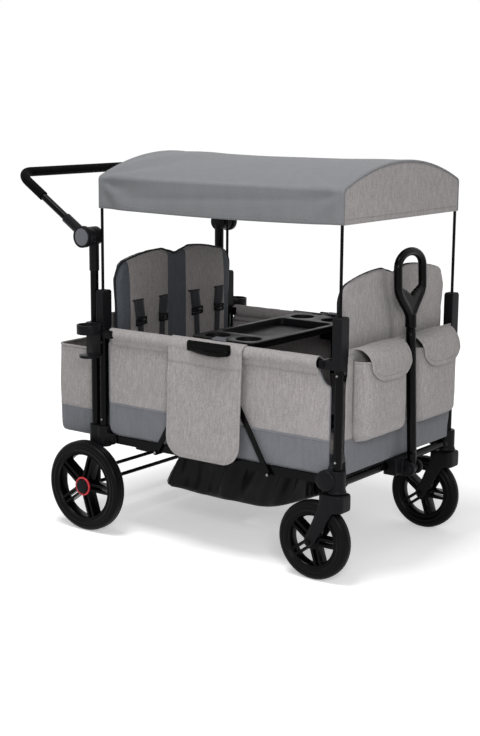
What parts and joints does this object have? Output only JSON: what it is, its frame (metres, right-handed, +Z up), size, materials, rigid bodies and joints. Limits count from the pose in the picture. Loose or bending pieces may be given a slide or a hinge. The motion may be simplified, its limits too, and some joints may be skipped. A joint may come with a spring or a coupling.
{
  "type": "stroller wagon",
  "caption": "Folding stroller wagon with facing padded seats, arched sun canopy, push handle, telescoping pull handle, swivel casters, snack tray, rear basket and hanging pockets.",
  "frame": {"origin": "ground level, under the middle of the wagon's overall length and width", "axes": "+X towards the front with the casters and pull handle, +Y to the wagon's left, +Z up"},
  "size_m": [1.2504, 0.8098, 1.15],
  "materials": {
    "black_steel": "satin powder coat",
    "black_aluminium": "satin anodised black",
    "charcoal_plastic": "fine moulded grain",
    "tyre_rubber": "matte foamed rubber",
    "grip_foam": "matte foam",
    "button_plastic": "smooth grey",
    "canopy_cloth": "smooth plain weave",
    "heather_cloth": "melange weave",
    "seat_cloth": "padded melange weave",
    "black_cloth": "plain weave"
  },
  "bodies": {
    "rear_frame": {"rear_end_frame": "black_steel", "rear_top_brackets": "charcoal_plastic", "rear_lower_brackets": "charcoal_plastic", "handle_uprights": "black_steel", "cup_holders": "charcoal_plastic", "upright_hubs": "charcoal_plastic", "rear_axle": "black_steel", "rear_pivot_pins": "black_steel", "rear_canopy_frame": "black_steel", "canopy_cover": "canopy_cloth", "rear_end_panel": "heather_cloth", "rear_seat_back": "seat_cloth", "rear_basket": "heather_cloth"},
    "brake": {"brake_bar": "charcoal_plastic"},
    "rear_wheel_right": {"rear_tyre_right": "tyre_rubber", "rear_rim_right": "charcoal_plastic"},
    "rear_wheel_left": {"rear_tyre_left": "tyre_rubber", "rear_rim_left": "charcoal_plastic"},
    "push_handle": {"push_bar": "black_aluminium", "push_grip": "grip_foam", "handle_hubs": "charcoal_plastic"},
    "handle_button_right": {"handle_button_right": "button_plastic"},
    "handle_button_left": {"handle_button_left": "button_plastic"},
    "rear_bottom_rails": {"rear_bottom_rails": "black_steel", "rear_deck": "charcoal_plastic", "rear_seat_cushion": "seat_cloth"},
    "centre_bottom": {"bottom_hinges": "black_steel", "footwell": "black_cloth"},
    "front_bottom_rails": {"front_bottom_rails": "black_steel", "front_deck": "charcoal_plastic", "front_seat_cushion": "seat_cloth"},
    "front_frame": {"front_end_frame": "black_steel", "front_top_brackets": "charcoal_plastic", "caster_housings": "charcoal_plastic", "front_pivot_pins": "black_steel", "front_canopy_frame": "black_steel", "front_end_panel": "heather_cloth", "front_seat_back": "seat_cloth", "front_pockets": "heather_cloth", "pull_bracket": "charcoal_plastic"},
    "caster_right": {"caster_fork_right": "charcoal_plastic"},
    "caster_left": {"caster_fork_left": "charcoal_plastic"},
    "front_wheel_right": {"front_tyre_right": "tyre_rubber", "front_rim_right": "charcoal_plastic"},
    "front_wheel_left": {"front_tyre_left": "tyre_rubber", "front_rim_left": "charcoal_plastic"},
    "pull_tube": {"pull_tube": "black_aluminium"},
    "pull_grip": {"pull_handle": "charcoal_plastic"},
    "rear_top_rails": {"rear_top_rails": "black_steel", "rear_side_panels": "heather_cloth"},
    "centre_top": {"top_hinges": "black_steel", "side_flaps": "heather_cloth"},
    "front_top_rails": {"front_top_rails": "black_steel", "front_side_panels": "heather_cloth"},
    "rear_links": {"rear_links": "black_steel"},
    "front_links": {"front_links": "black_steel"},
    "tray": {"tray": "charcoal_plastic"},
    "latch_right": {"latch_right": "charcoal_plastic"},
    "latch_left": {"latch_left": "charcoal_plastic"}
  },
  "joints": [
    {"name": "frame_fold", "type": "hinge", "parent": "rear_frame", "child": "rear_bottom_rails", "pos_m": [-0.25679, 0, 0.29], "axis": [0, -1, 0], "range_deg": [0, 70], "deforming": ["rear_side_panels", "front_side_panels", "rear_seat_cushion", "front_seat_cushion", "footwell"]},
    {"name": "centre_bottom_hinge", "type": "hinge", "parent": "rear_bottom_rails", "child": "centre_bottom", "pos_m": [0.10821, 0, 0.29], "axis": [0, -1, 0], "range_deg": [-70.5, 0]},
    {"name": "front_bottom_hinge", "type": "hinge", "parent": "centre_bottom", "child": "front_bottom_rails", "pos_m": [0.13821, 0, 0.29], "axis": [0, -1, 0], "range_deg": [-70.5, 0]},
    {"name": "front_frame_hinge", "type": "hinge", "parent": "front_bottom_rails", "child": "front_frame", "pos_m": [0.50321, 0, 0.29], "axis": [0, -1, 0], "range_deg": [0, 70.5]},
    {"name": "rear_top_hinge", "type": "hinge", "parent": "rear_frame", "child": "rear_top_rails", "pos_m": [-0.25679, 0, 0.613], "axis": [0, -1, 0], "range_deg": [0, 70.5]},
    {"name": "centre_top_hinge", "type": "hinge", "parent": "rear_top_rails", "child": "centre_top", "pos_m": [0.10821, 0, 0.613], "axis": [0, -1, 0], "range_deg": [-70.5, 0]},
    {"name": "front_top_hinge", "type": "hinge", "parent": "centre_top", "child": "front_top_rails", "pos_m": [0.13821, 0, 0.613], "axis": [0, -1, 0], "range_deg": [-70.5, 0]},
    {"name": "rear_link_pivot", "type": "hinge", "parent": "rear_bottom_rails", "child": "rear_links", "pos_m": [-0.08179, 0, 0.277], "axis": [0, -1, 0], "range_deg": [-46.56, 0]},
    {"name": "front_link_pivot", "type": "hinge", "parent": "front_bottom_rails", "child": "front_links", "pos_m": [0.32821, 0, 0.277], "axis": [0, -1, 0], "range_deg": [0, 46.56]},
    {"name": "rear_wheel_right_spin", "type": "hinge", "parent": "rear_frame", "child": "rear_wheel_right", "pos_m": [-0.33479, -0.355, 0.14], "axis": [0, 1, 0], "continuous": true},
    {"name": "rear_wheel_left_spin", "type": "hinge", "parent": "rear_frame", "child": "rear_wheel_left", "pos_m": [-0.33479, 0.355, 0.14], "axis": [0, 1, 0], "continuous": true},
    {"name": "caster_right_swivel", "type": "hinge", "parent": "front_frame", "child": "caster_right", "pos_m": [0.54721, -0.31, 0.27], "axis": [0, 0, 1], "continuous": true},
    {"name": "caster_left_swivel", "type": "hinge", "parent": "front_frame", "child": "caster_left", "pos_m": [0.54721, 0.31, 0.27], "axis": [0, 0, 1], "continuous": true},
    {"name": "front_wheel_right_spin", "type": "hinge", "parent": "caster_right", "child": "front_wheel_right", "pos_m": [0.47721, -0.31, 0.113], "axis": [0, 1, 0], "continuous": true},
    {"name": "front_wheel_left_spin", "type": "hinge", "parent": "caster_left", "child": "front_wheel_left", "pos_m": [0.47721, 0.31, 0.113], "axis": [0, 1, 0], "continuous": true},
    {"name": "push_handle_tilt", "type": "hinge", "parent": "rear_frame", "child": "push_handle", "pos_m": [-0.33479, 0, 0.905], "axis": [0, 1, 0], "range_deg": [-90, 50]},
    {"name": "handle_button_right_press", "type": "slide", "parent": "push_handle", "child": "handle_button_right", "axis": [0, 1, 0], "range_m": [0, 0.003], "stiffness_N_per_m": 900, "springref_m": -0.0005},
    {"name": "handle_button_left_press", "type": "slide", "parent": "push_handle", "child": "handle_button_left", "axis": [0, -1, 0], "range_m": [0, 0.003], "stiffness_N_per_m": 900, "springref_m": -0.0005},
    {"name": "brake_press", "type": "hinge", "parent": "rear_frame", "child": "brake", "pos_m": [-0.33479, 0, 0.182], "axis": [0, -1, 0], "range_deg": [0, 25]},
    {"name": "pull_handle_swing", "type": "hinge", "parent": "front_frame", "child": "pull_tube", "pos_m": [0.60321, 0, 0.275], "axis": [0, 1, 0], "range_deg": [0, 80]},
    {"name": "pull_handle_extend", "type": "slide", "parent": "pull_tube", "child": "pull_grip", "axis": [-0.0419, 0, 0.9991], "range_m": [0, 0.15]},
    {"name": "tray_lift", "type": "slide", "parent": "centre_top", "child": "tray", "axis": [0, 0, 1], "range_m": [0, 0.09]},
    {"name": "latch_right_lift", "type": "slide", "parent": "centre_top", "child": "latch_right", "axis": [0, 0, 1], "range_m": [0, 0.01], "stiffness_N_per_m": 600, "springref_m": -0.004},
    {"name": "latch_left_lift", "type": "slide", "parent": "centre_top", "child": "latch_left", "axis": [0, 0, 1], "range_m": [0, 0.01], "stiffness_N_per_m": 600, "springref_m": -0.004}
  ],
  "couplings": [
    {"joint": "centre_bottom_hinge", "follows": "frame_fold", "ratio": -1},
    {"joint": "front_bottom_hinge", "follows": "frame_fold", "ratio": -1},
    {"joint": "front_frame_hinge", "follows": "frame_fold", "ratio": 1},
    {"joint": "rear_top_hinge", "follows": "frame_fold", "ratio": 1},
    {"joint": "centre_top_hinge", "follows": "frame_fold", "ratio": -1},
    {"joint": "front_top_hinge", "follows": "frame_fold", "ratio": -1},
    {"joint": "rear_link_pivot", "follows": "frame_fold", "ratio": -0.658},
    {"joint": "front_link_pivot", "follows": "frame_fold", "ratio": 0.658}
  ]
}
